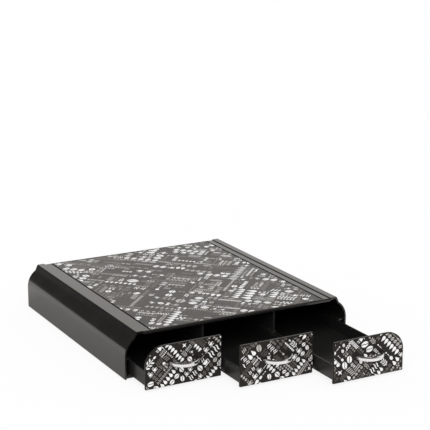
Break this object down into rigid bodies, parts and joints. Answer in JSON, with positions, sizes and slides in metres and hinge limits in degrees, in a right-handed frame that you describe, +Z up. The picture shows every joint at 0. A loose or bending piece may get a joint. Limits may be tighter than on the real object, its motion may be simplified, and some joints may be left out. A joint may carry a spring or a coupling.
{
  "type": "coffee pod organizer",
  "caption": "Low black housing with a printed top that a coffee machine stands on, and sliding drawers side by side below it for single-serve pods, each with a bow handle.",
  "frame": {"origin": "on the table, in the middle of the box round the whole object with its drawers as at rest", "axes": "+Z up, +X to the right seen from the drawers, +Y to the rear; drawers pull out along -Y"},
  "size_m": [0.335, 0.492, 0.0635],
  "materials": {
    "housing_plastic": "black moulded plastic, satin gloss",
    "inner_plastic": "black moulded plastic, fine grain",
    "drawer_plastic": "black moulded plastic, satin",
    "printed_sheet": "dark brown plastic sheet with a white and grey print",
    "handle_metal": "bright satin nickel",
    "foot_rubber": "black rubber",
    "screw_steel": "zinc plated steel"
  },
  "bodies": {
    "housing": {"left_side_panel": "housing_plastic", "right_side_panel": "housing_plastic", "deck_plate": "housing_plastic", "deck_sheet": "printed_sheet", "base_plate": "inner_plastic", "back_panel": "inner_plastic", "left_divider": "inner_plastic", "right_divider": "inner_plastic", "front_left_foot": "foot_rubber", "front_right_foot": "foot_rubber", "rear_left_foot": "foot_rubber", "rear_right_foot": "foot_rubber", "base_screws": "screw_steel", "deck_screws": "screw_steel"},
    "left_drawer": {"left_drawer_tray": "drawer_plastic", "left_drawer_front": "drawer_plastic", "left_drawer_facing": "printed_sheet", "left_drawer_handle": "handle_metal", "left_drawer_handle_screws": "screw_steel", "left_drawer_front_screws": "screw_steel"},
    "middle_drawer": {"middle_drawer_tray": "drawer_plastic", "middle_drawer_front": "drawer_plastic", "middle_drawer_facing": "printed_sheet", "middle_drawer_handle": "handle_metal", "middle_drawer_handle_screws": "screw_steel", "middle_drawer_front_screws": "screw_steel"},
    "right_drawer": {"right_drawer_tray": "drawer_plastic", "right_drawer_front": "drawer_plastic", "right_drawer_facing": "printed_sheet", "right_drawer_handle": "handle_metal", "right_drawer_handle_screws": "screw_steel", "right_drawer_front_screws": "screw_steel"}
  },
  "joints": [
    {"name": "left_drawer_slide", "type": "slide", "parent": "housing", "child": "left_drawer", "axis": [0, -1, 0], "range_m": [-0.0465, 0.2085]},
    {"name": "middle_drawer_slide", "type": "slide", "parent": "housing", "child": "middle_drawer", "axis": [0, -1, 0], "range_m": [-0.093, 0.162]},
    {"name": "right_drawer_slide", "type": "slide", "parent": "housing", "child": "right_drawer", "axis": [0, -1, 0], "range_m": [-0.1395, 0.1155]}
  ]
}
